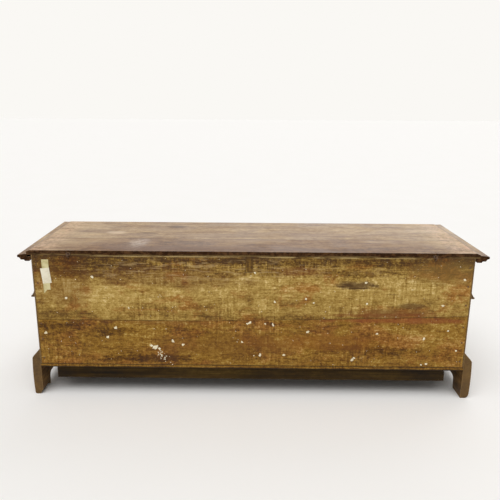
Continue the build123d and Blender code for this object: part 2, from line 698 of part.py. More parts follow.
with BuildPart() as lock_case:
    with Locations((0, FRONT_INNER, LOCK_TOP)):
        Box(
            LOCK_LENGTH + 2 * FLANGE,
            LOCK_WALL,
            LOCK_HEIGHT,
            align=(Align.CENTER, Align.MIN, Align.MAX),
        )
        Box(LOCK_LENGTH, LOCK_DEPTH, LOCK_HEIGHT, align=(Align.CENTER, Align.MIN, Align.MAX))
    with Locations((0, FRONT_INNER + LOCK_WALL, LOCK_TOP - LOCK_WALL)):
        Box(
            LOCK_LENGTH - 2 * LOCK_WALL,
            INNER_DEPTH,
            LOCK_HEIGHT - 2 * LOCK_WALL,
            align=(Align.CENTER, Align.MIN, Align.MAX),
            mode=Mode.SUBTRACT,
        )
    guide_right = STAPLE_X - STAPLE_THICKNESS / 2 - STAPLE_PLAY - GUIDE_WIDTH / 2
    guide_left = guide_right - BOLT_LENGTH / 2
    with Locations(*[(x, STAPLE_Y, BOLT_Z) for x in (guide_left, guide_right)]):
        Box(GUIDE_WIDTH, INNER_DEPTH, BOLT_HEIGHT + 2 * (BOLT_PLAY + GUIDE_RIM))
        Box(
            GUIDE_WIDTH,
            BOLT_THICKNESS + 2 * BOLT_PLAY,
            BOLT_HEIGHT + 2 * BOLT_PLAY,
            mode=Mode.SUBTRACT,
        )
    with Locations((STAPLE_X, STAPLE_Y, LOCK_TOP)):
        Box(
            STAPLE_THICKNESS + 2 * STAPLE_PLAY,
            STAPLE_WIDTH + 2 * STAPLE_PLAY,
            LOCK_WALL,
            align=(Align.CENTER, Align.CENTER, Align.MAX),
            mode=Mode.SUBTRACT,
        )
    with BuildSketch(Plane.XZ.offset(-(FRONT_INNER + LOCK_WALL))):
        with Locations((0, RIM_Z - KEY_DROP)):
            add(keyhole_outline())
    extrude(amount=LOCK_WALL, mode=Mode.SUBTRACT)
    with BuildSketch(Plane.XZ.offset(-(FRONT_INNER + LOCK_DEPTH - LOCK_WALL))):
        with Locations((0, RIM_Z - KEY_DROP)):
            Circle(KEY_PIN_RADIUS)
    extrude(amount=INNER_DEPTH - KEY_PIN_GAP)
    nail_holes(LOCK_NAILS, LOCK_NAIL_LENGTH)

with BuildPart() as lock_bolt:
    with Locations((BOLT_TIP, STAPLE_Y, BOLT_Z)):
        Box(
            BOLT_LENGTH,
            BOLT_THICKNESS,
            BOLT_HEIGHT,
            align=(Align.MAX, Align.CENTER, Align.CENTER),
        )
    tip_edges = lock_bolt.faces().sort_by(Axis.X)[-1].edges().filter_by(Axis.Y)
    chamfer(tip_edges, length=BOLT_HEIGHT / 6)
    with Locations(((guide_left + guide_right) / 2, STAPLE_Y, BOLT_Z - BOLT_HEIGHT / 2)):
        Box(
            BOLT_NOTCH,
            BOLT_THICKNESS,
            BOLT_HEIGHT / 2,
            align=(Align.CENTER, Align.CENTER, Align.MIN),
            mode=Mode.SUBTRACT,
        )

with BuildPart() as lid_staple:
    with Locations((STAPLE_X, STAPLE_Y, RIM_Z)):
        Box(
            STAPLE_PLATE,
            STAPLE_WIDTH,
            PLATE_THICKNESS,
            align=(Align.CENTER, Align.CENTER, Align.MAX),
        )
    with BuildSketch(Plane.YZ.offset(STAPLE_X - STAPLE_THICKNESS / 2)) as staple_face:
        with Locations((STAPLE_Y, RIM_Z)):
            Rectangle(STAPLE_WIDTH, STAPLE_DROP, align=(Align.CENTER, Align.MAX))
        fillet(staple_face.vertices().group_by(Axis.Y)[0], radius=STAPLE_WIDTH / 3)
        with Locations((STAPLE_Y, RIM_Z - PLATE_THICKNESS)):
            Rectangle(
                STAPLE_WIDTH - 2 * STAPLE_WIRE,
                STAPLE_DROP - PLATE_THICKNESS - 2 * STAPLE_WIRE,
                align=(Align.CENTER, Align.MAX),
                mode=Mode.SUBTRACT,
            )
    extrude(amount=STAPLE_THICKNESS)
    nail_holes(STAPLE_NAILS, STAPLE_NAIL_LENGTH)

# ================================================================== nails
with BuildPart() as back_nails:
    with Locations(*BACK_NAILS):
        add(nail(BACK_NAIL_LENGTH))

with BuildPart() as batten_nails:
    with Locations(*BATTEN_NAILS):
        add(nail(BATTEN_NAIL_LENGTH))

with BuildPart() as lock_nails:
    with Locations(*LOCK_NAILS):
        add(nail(LOCK_NAIL_LENGTH))

with BuildPart() as staple_nails:
    with Locations(*STAPLE_NAILS):
        add(nail(STAPLE_NAIL_LENGTH))

# ================================================================== paper tag
TAG_HALF = TAG_TAPE_WIDTH / 2

with BuildPart() as tag_tape:
    with BuildSketch(Plane(origin=(TAG_X, BACK_Y, 0), x_dir=(-1, 0, 0), z_dir=(0, 1, 0))):
        Polygon(
            (-TAG_HALF, TAG_TAPE_TOP),
            (TAG_HALF, TAG_TAPE_TOP),
            (TAG_HALF, TAG_TAPE_BOTTOM + TAG_TAPE_TEAR),
            (0, TAG_TAPE_BOTTOM + TAG_TAPE_TEAR),
            (-TAG_HALF * 0.7, TAG_TAPE_BOTTOM),
            (-TAG_HALF, TAG_TAPE_BOTTOM),
            align=None,
        )
    extrude(amount=TAPE_THICKNESS)

with BuildPart() as tag_card:
    card_plane = Plane(
        origin=(TAG_X, BACK_Y + TAPE_THICKNESS, TAG_CARD_Z), x_dir=(-1, 0, 0), z_dir=(0, 1, 0)
    )
    with BuildSketch(card_plane):
        Rectangle(TAG_CARD_WIDTH, TAG_CARD_HEIGHT, rotation=TAG_CARD_TILT)
    extrude(amount=CARD_THICKNESS)

# ================================================================== files
PIECES = {
    "side_panel_left": side_panel_left,
    "side_panel_right": side_panel_right,
    "front_lower_plank": front_lower_plank,
    "front_upper_plank": front_upper_plank,
    "back_lower_plank": back_lower_plank,
    "back_upper_plank": back_upper_plank,
    "back_patch": back_patch,
    "bottom_front_board": bottom_front_board,
    "bottom_rear_board": bottom_rear_board,
    "rear_rail": rear_rail,
    "plinth_left": plinth_left,
    "plinth_right": plinth_right,
    "plinth_front": plinth_front,
    "corner_block_left": corner_block_left,
    "corner_block_right": corner_block_right,
    "mid_moulding_left": mid_moulding_left,
    "mid_moulding_right": mid_moulding_right,
    "mid_moulding_front": mid_moulding_front,
    "lid_front_plank": lid_front_plank,
    "lid_rear_plank": lid_rear_plank,
    "lid_moulding_left": lid_moulding_left,
    "lid_moulding_right": lid_moulding_right,
    "lid_moulding_front": lid_moulding_front,
    "lid_batten_left": lid_batten_left,
    "lid_batten_right": lid_batten_right,
    "chest_hinge_pins": chest_hinge_pins,
    "lid_hinge_pins": lid_hinge_pins,
    "lock_case": lock_case,
    "lock_bolt": lock_bolt,
    "lid_staple": lid_staple,
    "back_nails": back_nails,
    "batten_nails": batten_nails,
    "lock_nails": lock_nails,
    "staple_nails": staple_nails,
    "tag_tape": tag_tape,
    "tag_card": tag_card,
}

for name, piece in PIECES.items():
    piece.part.label = name
    export_step(piece.part, f"parts/{name}.step")
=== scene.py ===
"""Looks of the long low lidded chest: finishes, dried paint, worn wood, light and camera."""

import math
import random

import bmesh
import bpy
from mathutils import Matrix, Vector


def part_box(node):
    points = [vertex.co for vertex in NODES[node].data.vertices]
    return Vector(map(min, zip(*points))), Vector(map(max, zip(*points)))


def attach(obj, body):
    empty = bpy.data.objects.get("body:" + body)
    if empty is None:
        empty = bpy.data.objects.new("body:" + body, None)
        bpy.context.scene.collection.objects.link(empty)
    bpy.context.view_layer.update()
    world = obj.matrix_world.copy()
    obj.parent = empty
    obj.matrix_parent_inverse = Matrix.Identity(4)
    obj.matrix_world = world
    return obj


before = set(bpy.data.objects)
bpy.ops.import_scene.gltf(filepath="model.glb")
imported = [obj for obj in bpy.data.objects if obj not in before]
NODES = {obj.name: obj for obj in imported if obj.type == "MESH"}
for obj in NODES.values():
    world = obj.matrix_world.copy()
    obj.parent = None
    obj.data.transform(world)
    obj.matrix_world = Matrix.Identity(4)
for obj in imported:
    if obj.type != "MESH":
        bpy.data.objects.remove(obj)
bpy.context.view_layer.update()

# ------------------------------------------------------------------ places read from the frame
BACK_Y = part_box("back_upper_plank")[1][1]
RIM_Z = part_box("back_upper_plank")[1][2]
FLOOR_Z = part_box("back_lower_plank")[0][2]
LID_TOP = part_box("lid_rear_plank")[1][2]
BODY_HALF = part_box("front_upper_plank")[1][0]
BACK_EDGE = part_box("back_upper_plank")[1][0]
LID_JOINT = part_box("lid_rear_plank")[0][1]

FAR = 50.0                  # a radius that takes in the whole chest
SKIN = 0.015                # how deep the marks on the outside of the back go


def srgb(red, green, blue):
    """Linear colour of a colour given in the usual 0 to 255 numbers."""
    def linear(value):
        value /= 255
        return value / 12.92 if value <= 0.04045 else ((value + 0.055) / 1.055) ** 2.4
    return (linear(red), linear(green), linear(blue), 1.0)


def along(axis, lengthwise, crosswise):
    """Scale that is one value along the grain and another across it."""
    return tuple(lengthwise if letter == axis else crosswise for letter in "XYZ")


# ------------------------------------------------------------------ colours
DEEP = srgb(60, 38, 14)
PITCH = srgb(30, 19, 8)
RED = srgb(120, 64, 26)
DUST = srgb(206, 180, 122)
RAW_DARK = srgb(80, 54, 28)
RAW_MIDDLE = srgb(128, 96, 56)
RAW_PALE = srgb(164, 132, 86)
# from the darkest tone of each wood to the lightest
BACK_TONES = (
    srgb(72, 47, 16), srgb(110, 79, 27), srgb(153, 121, 54), srgb(188, 157, 86),
    srgb(226, 200, 140),
)
LOWER_TONES = (
    srgb(66, 39, 7), srgb(100, 66, 12), srgb(136, 97, 30), srgb(162, 126, 52),
    srgb(204, 174, 106),
)
RUST_TONES = (
    srgb(72, 41, 14), srgb(96, 58, 16), srgb(136, 88, 30), srgb(166, 118, 52),
    srgb(206, 168, 108),
)
LID_TONES = (
    srgb(88, 60, 36), srgb(124, 93, 63), srgb(156, 128, 95), srgb(179, 152, 117),
    srgb(204, 178, 142),
)
CASE_TONES = (
    srgb(45, 27, 8), srgb(80, 53, 20), srgb(110, 79, 36), srgb(136, 103, 54),
    srgb(166, 134, 82),
)
# painted shade: tones as dark as wood deep in the shade under the chest, for the rear rail and the
# corner blocks
SHADED_TONES = (
    srgb(20, 12, 3), srgb(35, 23, 6), srgb(50, 35, 10), srgb(68, 50, 18),
    srgb(88, 68, 30),
)


class Finish:
    """A material, and short ways to add shader nodes to it."""

    shift = (0.0, 0.0, 0.0)

    def __init__(self, name):
        self.material = bpy.data.materials.new(name)
        self.material.use_nodes = True
        self.tree = self.material.node_tree
        self.shader = self.tree.nodes["Principled BSDF"]
        coordinates = self.tree.nodes.new("ShaderNodeTexCoord")
        self.place = coordinates.outputs["Object"]
        self.normal = coordinates.outputs["Normal"]

    def add(self, kind, inputs, output=0, **settings):
        node = self.tree.nodes.new("ShaderNode" + kind)
        for key, value in settings.items():
            setattr(node, key, value)
        for key, value in inputs.items():
            self.put(node.inputs[key], value)
        return node.outputs[output]

    def put(self, socket, value):
        if isinstance(value, bpy.types.NodeSocket):
            self.tree.links.new(value, socket)
        else:
            socket.default_value = value

    def set(self, name, value):
        self.put(self.shader.inputs[name], value)

    def math(self, operation, *values):
        return self.add("Math", dict(enumerate(values)), operation=operation)

    def plus(self, first, second):
        return self.math("ADD", first, second)

    def less(self, first, second):
        return self.math("SUBTRACT", first, second)

    def times(self, first, second):
        return self.math("MULTIPLY", first, second)

    def swayed(self, value, pattern, amount):
        """The value, raised and lowered by a pattern that is 0.5 on average."""
        return self.plus(value, self.times(self.less(pattern, 0.5), amount))

    def ease(self, value, low, high, to_low=0.0, to_high=1.0):
        """Smooth step from one value at low to another at high."""
        inputs = {
            "Value": value, "From Min": low, "From Max": high, "To Min": to_low, "To Max": to_high
        }
        return self.add("MapRange", inputs, interpolation_type="SMOOTHSTEP")

    def between(self, factor, first, second):
        return self.add("Mix", {0: factor, 2: first, 3: second})

    def mix(self, factor, first, second):
        """Colour between two colours."""
        inputs = {0: factor, 6: first, 7: second}
        return self.add("Mix", inputs, output=2, data_type="RGBA")

    def ramp(self, value, stops):
        """Colour of a value, from pairs of a place and a colour."""
        node = self.tree.nodes.new("ShaderNodeValToRGB")
        elements = node.color_ramp.elements
        while len(elements) < len(stops):
            elements.new(0.5)
        for number, (place, colour) in enumerate(stops):
            elements[number].position = place
            elements[number].color = colour
        self.put(node.inputs[0], value)
        return node.outputs[0]

    def scaled(self, scale, shift):
        return self.add("Mapping", {"Vector": self.place, "Scale": scale, "Location": shift})

    def noise(self, place, detail, rough, warp):
        inputs = {
            "Vector": place, "Scale": 1.0, "Detail": detail, "Roughness": rough, "Distortion": warp
        }
        return self.add("TexNoise", inputs)

    def pattern(self, scale, detail, rough, warp=0.0):
        """Noise with a scale of its own along each axis."""
        return self.noise(self.scaled(scale, self.shift), detail, rough, warp)

    def reach(self, centre, radii):
        """Distance from a centre, where 1 is the rim of the given ellipsoid."""
        inputs = {"Vector": self.place, "Location": centre, "Scale": radii}
        local = self.add("Mapping", inputs, vector_type="TEXTURE")
        return self.add("VectorMath", {0: local}, output=1, operation="LENGTH")

    def axis(self, name):
        return self.add("SeparateXYZ", {0: self.place}, output="XYZ".index(name))

    def facing(self, name):
        """How far the face points along an axis, from -1 to 1."""
        return self.add("SeparateXYZ", {0: self.normal}, output="XYZ".index(name))

    def bump(self, height, strength, distance):
        return self.add("Bump", {"Height": height, "Strength": strength, "Distance": distance})


class Wood(Finish):
    """Old softwood: year rings, fibres, streaks, blotches, cracks, worn edges and dust."""

    def __init__(
        self, name, axis, pith, seed, ring=45.0, short=1.0, shares=(0.75, 0.85, 1.25, 0.55)
    ):
        super().__init__(name)
        random.seed(seed)
        self.shift = tuple(random.uniform(-9, 9) for _ in range(3))
        wander = self.pattern(along(axis, 1.6, 5.0), 3.0, 0.5)
        phase = self.times(self.reach(pith, along(axis, FAR, 1.0)), ring * math.tau)
        self.rings = self.math("SINE", self.plus(phase, self.times(wander, 26.0)))
        self.fibres = self.pattern(along(axis, 8.0 * short, 420.0), 3.0, 0.6)
        self.lines = self.pattern(along(axis, 6.0 * short, 150.0), 4.0, 0.65)
        self.streaks = self.pattern(along(axis, 2.0 * short, 46.0), 5.0, 0.65)
        self.blotch = self.pattern(along(axis, 2.6 * short, 7.5), 8.0, 0.66, 0.7)
        self.grit = self.pattern((56.0, 56.0, 70.0), 6.0, 0.76)
        self.tone = self.math("MULTIPLY_ADD", self.rings, 0.05, 0.5)
        for pattern, share in zip((self.lines, self.streaks, self.blotch, self.grit), shares):
            self.sway(pattern, share)
        self.rough = self.ease(self.blotch, 0.35, 0.7, 0.66, 0.86)
        self.colour = None

    def sway(self, pattern, amount):
        """Lightens and darkens the tone with a pattern."""
        self.tone = self.swayed(self.tone, pattern, amount)

    def lighten(self, amount):
        self.tone = self.plus(self.tone, amount)

    def darken(self, amount):
        self.tone = self.less(self.tone, amount)

    def ragged(self, distance, soft, torn):
        """1 inside the rim and 0 outside it, with a torn outline."""
        for pattern, share in ((self.blotch, 2.4), (self.streaks, 1.6), (self.grit, 0.8)):
            distance = self.swayed(distance, pattern, share * torn)
        return self.ease(distance, 1.0 + soft, 1.0 - soft)

    def tint(self, centre, radii, amount, soft=0.5, torn=0.8):
        """A patch where the wood is darker, or lighter where the amount is negative."""
        self.darken(self.times(self.ragged(self.reach(centre, radii), soft, torn), amount))

    def weather(self, mottle, marks):
        """Small damp patches, and marks of the saw and the plane across the grain."""
        self.sway(self.pattern((17.0, 17.0, 24.0), 8.0, 0.72, 0.6), mottle)
        slant = {"Vector": self.place, "Scale": (130.0, 1.0, 9.0), "Rotation": (0.0, 0.06, 0.0)}
        cuts = self.noise(self.add("Mapping", slant), 5.0, 0.75, 0.25)
        zone = self.ease(self.pattern((4.0, 1.0, 6.0), 5.0, 0.65), 0.48, 0.56, 0.15, 1.0)
        self.sway(self.between(zone, 0.5, cuts), marks)

    def stops(self, *colours):
        """Colours from the darkest tone to the lightest."""
        last = len(colours) - 1
        places = (0.10 + 0.80 * number / last for number in range(last + 1))
        self.colour = self.ramp(self.tone, tuple(zip(places, colours)))

    def shade(self, mask, colour, amount):
        self.colour = self.mix(self.times(mask, amount), self.colour, colour)

    def stain(self, centre, radii, colour, amount, soft=0.45, torn=0.8):
        """A ragged patch of another colour."""
        self.shade(self.ragged(self.reach(centre, radii), soft, torn), colour, amount)

    def cracks(self, colour, amount=0.8):
        """Thin dark checks along the grain."""
        self.shade(self.ease(self.lines, 0.34, 0.27), colour, amount)

    def dust(self, colour, amount):
        self.shade(self.ease(self.grit, 0.64, 0.74), colour, amount)

    def specks(self, colour, amount):
        """Tiny spatters of old limewash."""
        dots = self.pattern((230.0, 230.0, 260.0), 2.0, 0.5)
        self.shade(self.ease(dots, 0.715, 0.745), colour, amount)

    def edges(self, colour, amount, radius=0.0035):
        """Arrises rubbed paler, or gone darker, than the faces beside them."""
        rounded = self.add("Bevel", {"Radius": radius}, samples=4)
        true = self.add("NewGeometry", {}, output=1)
        same = self.add("VectorMath", {0: rounded, 1: true}, output=1, operation="DOT_PRODUCT")
        mask = self.times(self.ease(same, 0.995, 0.86), self.ease(self.grit, 0.30, 0.52))
        self.shade(mask, colour, amount)

    def crevice_shade(self, colour, amount):
        """Painted shade where surfaces meet, darkest in the deepest hollows."""
        occlusion = self.add("AmbientOcclusion", {"Distance": 0.02}, output=1, samples=6)
        self.shade(self.ease(occlusion, 0.80, 0.35), colour, amount)

    def raw(self, mask, amount):
        """Planed wood that never had wax, on the faces inside the chest and under the lid."""
        grain = self.pattern(along("X", 2.2, 75.0), 6.0, 0.62, 0.3)
        stops = ((0.30, RAW_DARK), (0.50, RAW_MIDDLE), (0.72, RAW_PALE))
        self.shade(mask, self.ramp(self.swayed(grain, self.tone, 0.22), stops), amount)

    def back_end(self):
        """1 on the faces that end flush with the outside of the back, and 0 elsewhere."""
        flush = self.ease(self.axis("Y"), BACK_Y - 0.0012, BACK_Y - 0.0004)
        return self.times(flush, self.ease(self.facing("Y"), 0.4, 0.8))

    def done(self, bump=0.5, distance=0.0008, rough=None, specular=0.25):
        height = self.times(self.fibres, 0.4)
        for pattern, share in ((self.lines, 0.6), (self.grit, 0.7), (self.rings, 0.05)):
            height = self.plus(height, self.times(pattern, share))
        self.set("Base Color", self.colour)
        self.set("Roughness", self.rough if rough is None else rough)
        self.set("Specular IOR Level", specular)
        self.set("Normal", self.bump(height, bump, distance))
        return self.material


def dress(node, material):
    """Gives a CAD node its finish."""
    mesh = NODES[node].data
    if not mesh.materials:
        mesh.materials.append(material)
    for index in range(len(mesh.materials)):
        mesh.materials[index] = material


def added(name, data):
    """A new object in the scene."""
    item = bpy.data.objects.new(name, data)
    bpy.context.scene.collection.objects.link(item)
    return item


# ------------------------------------------------------------------ back planks
def back_finish(name, pith, seed):
    """Bare sawn wood, mottled and marked by the saw."""
    wood = Wood(name, "X", pith, seed, short=2.8, shares=(0.38, 0.40, 0.35, 1.05))
    wood.weather(0.45, 1.05)
    wood.sway(wood.pattern((150.0, 150.0, 210.0), 3.0, 0.60), 0.75)
    wood.sway(wood.fibres, 0.60)
    return wood


def tint_back(wood, *rows):
    """Darker patches on the outside: middle, half length and height, amount, soft, torn."""
    for x, z, length, height, amount, *outline in rows:
        wood.tint((x, BACK_Y, z), (length, SKIN, height), amount, *outline)


def stain_back(wood, *rows):
    """Coloured patches on the outside, in rows like those of tint_back."""
    for x, z, length, height, colour, amount, *outline in rows:
        wood.stain((x, BACK_Y, z), (length, SKIN, height), colour, amount, *outline)


def two_hues(wood, cool, warm, low, high):
    """Olive and rusty parts, ragged where they meet."""
    wood.stops(*cool)
    plain = wood.colour
    wood.stops(*warm)
    where = wood.noise(wood.scaled((5.0, 5.0, 9.0), (3.0, 1.0, 7.0)), 9.0, 0.7, 0.5)
    wood.colour = wood.mix(wood.ease(where, low, high), plain, wood.colour)


def rim_shade(wood, amount):
    """Painted shade along the rim, just under the lid."""
    wood.shade(wood.ease(wood.axis("Z"), RIM_Z - 0.016, RIM_Z - 0.002), DEEP, amount)


def inner_face(wood):
    """Raw wood on the side of a back plank that looks into the chest, and painted shade where
    surfaces meet.
    """
    wood.raw(wood.ease(wood.facing("Y"), -0.5, -0.9), 0.85)
    wood.crevice_shade(PITCH, 0.6)


upper = back_finish("back_upper_wood", (0.0, BACK_Y - 0.16, 0.42), 3)
# dark along the top, and tan from there down to the joint
level = upper.swayed(upper.axis("Z"), upper.blotch, 0.16)
upper.darken(upper.ease(level, 0.455, 0.510, 0.0, 0.20))
upper.lighten(upper.ease(level, 0.350, 0.390, 0.0, 0.10))
tint_back(
    upper,
    (0.640, 0.520, 0.26, 0.070, 0.20),
    (-0.330, 0.536, 0.65, 0.014, 0.20),
    (0.690, 0.326, 0.12, 0.014, 0.18, 0.3, 0.6),
    (0.740, 0.372, 0.07, 0.050, 0.10),
    (-0.740, 0.480, 0.06, 0.070, 0.04),
    (-0.100, 0.320, 0.30, 0.010, 0.16),
    (0.690, 0.405, 0.14, 0.055, -0.14, 0.7),
)
# the tan band is calmer than the rest
calm = upper.times(upper.ease(upper.axis("Z"), 0.470, 0.430), 0.22)
upper.tone = upper.between(calm, upper.tone, 0.56)
two_hues(upper, BACK_TONES, RUST_TONES, 0.50, 0.62)
stain_back(
    upper,
    (0.700, 0.450, 0.11, 0.080, srgb(112, 68, 20), 0.40),
    (0.330, 0.475, 0.26, 0.040, srgb(104, 62, 30), 0.35),
    (-0.700, 0.498, 0.12, 0.045, srgb(134, 104, 48), 0.50),
    (-0.500, 0.342, 0.13, 0.020, srgb(108, 62, 24), 0.60, 0.45, 1.2),
    (-0.470, 0.334, 0.19, 0.007, RED, 0.50, 0.45, 1.3),
    (-0.740, 0.322, 0.08, 0.010, RED, 0.50),
    (-0.580, 0.370, 0.045, 0.012, srgb(84, 54, 22), 0.65, 0.4, 0.5),
    (-0.180, 0.500, 0.09, 0.018, srgb(116, 62, 32), 0.45),
)
upper.cracks(DEEP)
knot = upper.reach((-0.370, BACK_Y, 0.450), (0.056, SKIN, 0.016))
for pattern, share in ((upper.grit, 1.2), (upper.blotch, 2.2), (upper.lines, 1.6)):
    knot = upper.swayed(knot, pattern, share)
knot_lines = upper.times(upper.ease(knot, 1.20, 0.60), upper.ease(upper.lines, 0.50, 0.40))
knot_dust = upper.times(upper.ease(knot, 1.40, 0.90), upper.ease(upper.lines, 0.53, 0.62))
upper.shade(upper.ease(knot, 1.50, 0.70), srgb(92, 66, 34), 0.85)
upper.shade(knot_lines, DEEP, 0.65)
upper.shade(knot_dust, DUST, 0.50)
# pale scuffs below the middle of the rim
scuffed = upper.ragged(upper.reach((0.120, BACK_Y, 0.505), (0.50, SKIN, 0.036)), 0.5, 0.8)
scuffed = upper.times(scuffed, upper.ease(upper.lines, 0.52, 0.61))
upper.shade(scuffed, srgb(178, 150, 102), 0.55)
upper.dust(DUST, 0.55)
upper.specks(DUST, 0.85)
# painted shade under the lid
rim_shade(upper, 0.45)
# the pale line of the rim, which fades out near both ends
rim_line = upper.ease(upper.axis("Z"), RIM_Z - 0.0060, RIM_Z - 0.0020)
for start, end in ((0.66, 0.48), (-0.68, -0.64)):
    rim_line = upper.times(rim_line, upper.ease(upper.axis("X"), start, end))
upper.shade(upper.times(rim_line, upper.ease(upper.streaks, 0.44, 0.56)), DUST, 0.65)
inner_face(upper)
upper.edges(PITCH, 0.9, 0.0028)
dress("back_upper_plank", upper.done())

lower = back_finish("back_lower_wood", (0.0, BACK_Y - 0.16, 0.20), 11)
tint_back(
    lower,
    (-0.430, 0.190, 0.17, 0.022, 0.18),
    (0.420, 0.155, 0.20, 0.012, 0.18),
    (0.500, 0.262, 0.06, 0.020, 0.14),
    (0.700, 0.285, 0.14, 0.018, 0.12),
    (-0.640, 0.235, 0.16, 0.040, -0.12, 0.7),
    (0.580, 0.220, 0.28, 0.090, 0.06, 0.7),
)
two_hues(lower, LOWER_TONES, RUST_TONES, 0.46, 0.62)
stain_back(
    lower,
    (-0.260, 0.222, 0.26, 0.030, srgb(136, 82, 22), 0.45),
    (0.120, 0.205, 0.30, 0.040, srgb(116, 74, 22), 0.35),
    (-0.560, 0.313, 0.24, 0.010, srgb(140, 74, 36), 0.60),
    (0.340, 0.300, 0.20, 0.014, srgb(116, 70, 30), 0.40),
)
lower.cracks(DEEP)
lower.dust(DUST, 0.50)
lower.specks(DUST, 0.85)
inner_face(lower)
lower.edges(PITCH, 0.9, 0.0028)
dress("back_lower_plank", lower.done())

patch = Wood(
    "patch_wood", "Z", (0.05, BACK_Y - 0.1, 0.5), 5, short=2.8, shares=(0.50, 0.35, 0.45, 1.00)
)
patch.weather(0.75, 0.5)
patch.darken(0.20)
patch.stops(*BACK_TONES)
patch.cracks(DEEP)
# painted shade under the lid
rim_shade(patch, 0.55)
patch.edges(PITCH, 0.7, 0.003)
dress("back_patch", patch.done())

for node, seed in (("bottom_rear_board", 21), ("bottom_front_board", 22)):
    board = back_finish(node + "_wood", (0.0, 0.0, 0.3), seed)
    board.darken(0.07)
    board.stops(*LOWER_TONES)
    board.cracks(DEEP)
    under_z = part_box(node)[0][2]
    # painted shade along the lowest part of the board's edge, which is rounded and turns away from
    # the light
    underside_shade_line = board.plus(board.axis("Z"), board.times(board.streaks, 0.014))
    board.shade(board.ease(underside_shade_line, under_z + 0.0150, under_z + 0.0100), PITCH, 0.9)
    board.shade(board.ease(board.axis("Z"), FLOOR_Z - 0.0042, FLOOR_Z - 0.0014), PITCH, 0.85)
    dress(node, board.done())


# ------------------------------------------------------------------ lid
def lid_finish(name, axis, seed, pith):
    """Planed and waxed board, paler towards the ends of the lid and darker at its rear."""
    wood = Wood(name, axis, pith, seed, ring=30.0, short=1.7, shares=(0.75, 0.55, 0.70, 0.70))
    wood.sway(wood.pattern((7.0, 10.0, 9.0), 8.0, 0.72, 0.8), 0.95)
    wood.sway(wood.fibres, 0.55)
    side = wood.math("ABSOLUTE", wood.axis("X"))
    pale = wood.ease(wood.plus(side, wood.times(wood.blotch, 0.30)), 0.62, 0.93)
    wood.lighten(wood.times(pale, 0.14))
    rear = wood.ease(wood.plus(wood.axis("Y"), wood.times(wood.streaks, 0.20)), 0.18, 0.36)
    wood.darken(wood.times(rear, 0.22))
    return wood


def stain_lid(wood, *rows):
    """Patches on the top: middle, half length and width, colour, amount, soft, torn."""
    for x, y, length, width, colour, amount, *outline in rows:
        wood.stain((x, y, LID_TOP), (length, width, FAR), colour, amount, *outline)


def lid_done(wood, bump=0.3, plank=True):
    """Underside, wear, dirt, painted shade and gloss of a plank or a moulding of the lid."""
    under = wood.ease(wood.facing("Z"), -0.5, -0.9)
    if plank:
        wood.raw(under, 0.90)
        side = wood.math("ABSOLUTE", wood.axis("X"))
        ends = wood.ease(wood.plus(side, wood.times(wood.blotch, 0.06)), 0.735, 0.790)
        worn = wood.times(ends, wood.ease(wood.grit, 0.42, 0.60))
        wood.shade(worn, srgb(218, 180, 150), 0.46)
    else:
        # painted shade on the undersides of the mouldings
        wood.shade(under, srgb(64, 43, 25), 0.80)
    # painted shade where the lid's pieces meet
    wood.crevice_shade(srgb(62, 42, 28), 0.7)
    # painted shade on the bevelled faces at the sides, which tilt away from the light
    tilt = wood.math("ABSOLUTE", wood.facing("X"))
    sloped_shade = wood.times(wood.ease(tilt, 0.2, 0.3), wood.ease(tilt, 0.7, 0.5))
    wood.shade(sloped_shade, srgb(108, 81, 58), 0.70)
    wood.edges(srgb(222, 202, 176), 0.35, 0.0025)
    if plank:
        apart = wood.math("ABSOLUTE", wood.less(wood.axis("Y"), LID_JOINT))
        joint = wood.ease(wood.swayed(apart, wood.grit, 0.006), 0.0042, 0.0010)
        wood.shade(joint, srgb(84, 60, 46), 0.75)
    rear_end = wood.back_end()
    dirt = wood.mix(wood.ease(wood.grit, 0.44, 0.62), srgb(46, 27, 13), srgb(86, 58, 34))
    wood.shade(rear_end, dirt, 0.97)
    if plank:
        low = wood.ease(wood.axis("Z"), RIM_Z + 0.0070, RIM_Z + 0.0015)
        dusty = wood.times(wood.times(rear_end, low), wood.ease(wood.lines, 0.42, 0.56))
        wood.shade(dusty, srgb(132, 110, 70), 0.60)
    rough = wood.ease(wood.blotch, 0.35, 0.7, 0.42, 0.60)
    rough = wood.math("MAXIMUM", rough, wood.times(rear_end, 0.9))
    gloss = wood.ease(rear_end, 0.0, 1.0, 0.35, 0.05)
    return wood.done(bump, 0.0005, rough=rough, specular=gloss)


front_board = lid_finish("lid_front_wood", "X", 31, (0.0, -0.07, RIM_Z - 0.12))
front_board.stops(*LID_TONES)
stain_lid(
    front_board,
    (0.325, -0.135, 0.034, 0.024, srgb(92, 62, 36), 0.75, 0.5, 0.8),
    (0.322, -0.136, 0.015, 0.010, DEEP, 0.40, 0.6, 0.9),
    (0.421, -0.019, 0.044, 0.016, srgb(92, 64, 44), 0.70, 0.5, 0.8),
    (0.550, -0.020, 0.036, 0.022, srgb(220, 196, 168), 0.58, 0.5, 0.9),
    (-0.100, 0.010, 0.50, 0.030, srgb(128, 98, 72), 0.40, 0.6, 1.1),
)
dress("lid_front_plank", lid_done(front_board))

rear_board = lid_finish("lid_rear_wood", "X", 37, (0.0, 0.16, RIM_Z - 0.12))
middle = rear_board.ease(rear_board.math("ABSOLUTE", rear_board.axis("X")), 0.78, 0.55)
rear_board.darken(rear_board.times(middle, 0.10))
rear_board.stops(*LID_TONES)
ruddy = rear_board.times(middle, rear_board.ease(rear_board.grit, 0.35, 0.60))
rear_board.shade(ruddy, srgb(128, 92, 64), 0.30)
bloom = rear_board.ragged(rear_board.reach((0.430, 0.150, LID_TOP), (0.030, 0.058, FAR)), 0.6, 0.9)
bloom = rear_board.times(bloom, rear_board.ease(rear_board.grit, 0.30, 0.66))
rear_board.shade(bloom, srgb(204, 188, 176), 0.55)
stain_lid(
    rear_board,
    (0.180, 0.225, 0.50, 0.030, srgb(104, 72, 50), 0.50, 0.6),
    (-0.799, 0.174, 0.014, 0.030, srgb(204, 160, 128), 0.45, 0.5, 0.7),
)
dress("lid_rear_plank", lid_done(rear_board))

